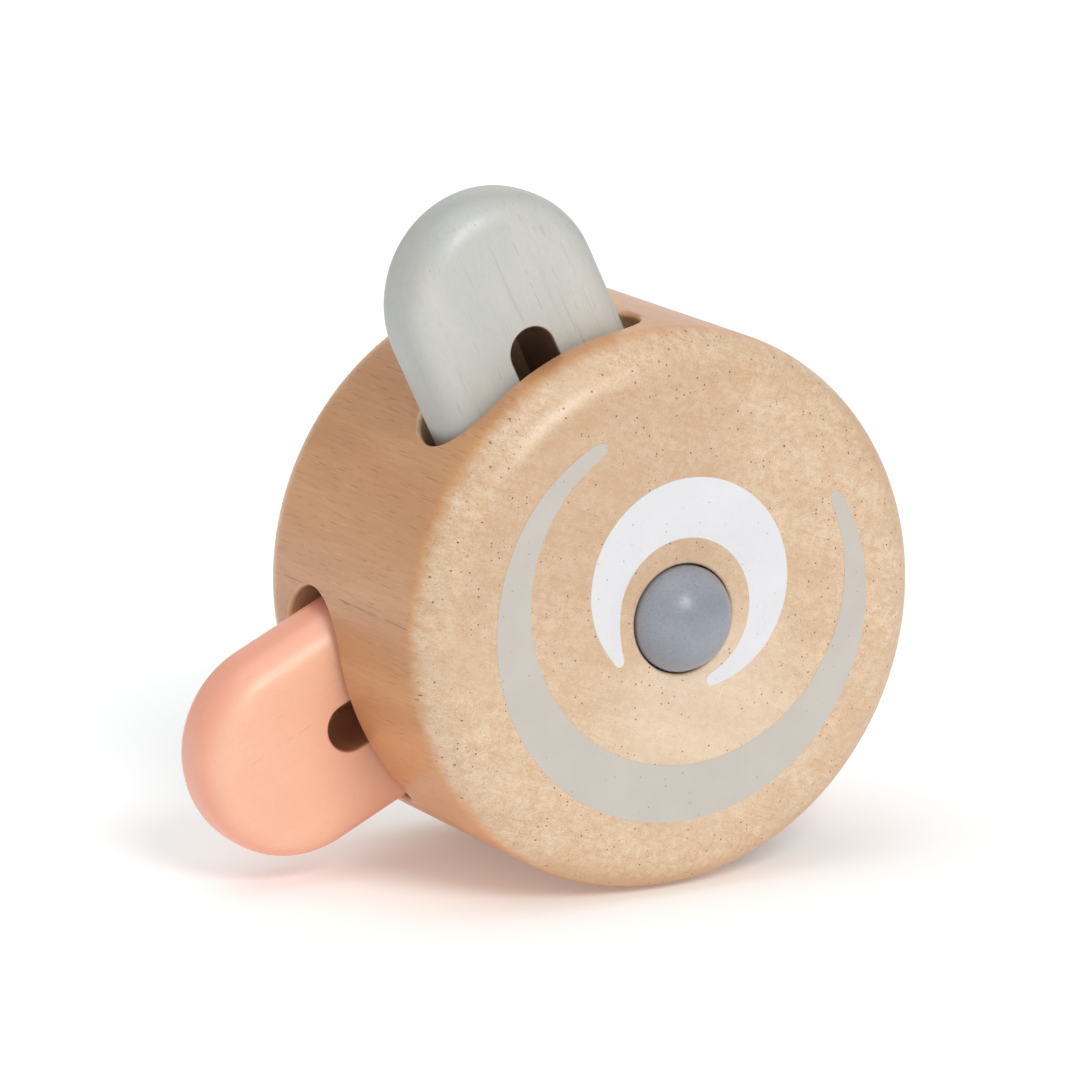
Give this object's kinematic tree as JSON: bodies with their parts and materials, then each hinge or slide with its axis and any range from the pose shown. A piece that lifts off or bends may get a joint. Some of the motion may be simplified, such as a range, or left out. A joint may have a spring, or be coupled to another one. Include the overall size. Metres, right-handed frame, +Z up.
{
  "type": "rolling toy",
  "caption": "Thick wooden drum that rolls on its rim, with flat round-ended sliders that drop to and fro through crossing slots, and a domed button on each face.",
  "frame": {"origin": "on the ground, on the bottom line of the drum's rim, midway between its faces", "axes": "+Y along the drum's axis towards its rear face, so the front face looks to -Y; +Z up; the toy rolls along X"},
  "size_m": [0.1241, 0.079, 0.1249],
  "materials": {
    "natural_wood": "bare pale hardwood, sanded and oiled; the faces are end grain with fine pores, and each carries a thin white and a thin warm grey printed crescent",
    "grey_stain": "pale green-grey water stain, matt, grain showing through along the slider",
    "peach_stain": "peach stain, satin, smooth",
    "blue_grey_stain": "blue-grey paint, satin"
  },
  "bodies": {
    "roller": {"drum": "natural_wood", "centre_dowel": "natural_wood", "front_button": "blue_grey_stain", "rear_button": "blue_grey_stain"},
    "front_slider_body": {"front_slider": "grey_stain"},
    "rear_slider_body": {"rear_slider": "peach_stain"}
  },
  "joints": [
    {"name": "front_slide", "type": "slide", "parent": "roller", "child": "front_slider_body", "axis": [-0.4258, 0, 0.9048], "range_m": [-0.052, 0]},
    {"name": "rear_slide", "type": "slide", "parent": "roller", "child": "rear_slider_body", "axis": [-0.9048, 0, -0.4258], "range_m": [-0.0511, 0.0008]}
  ]
}
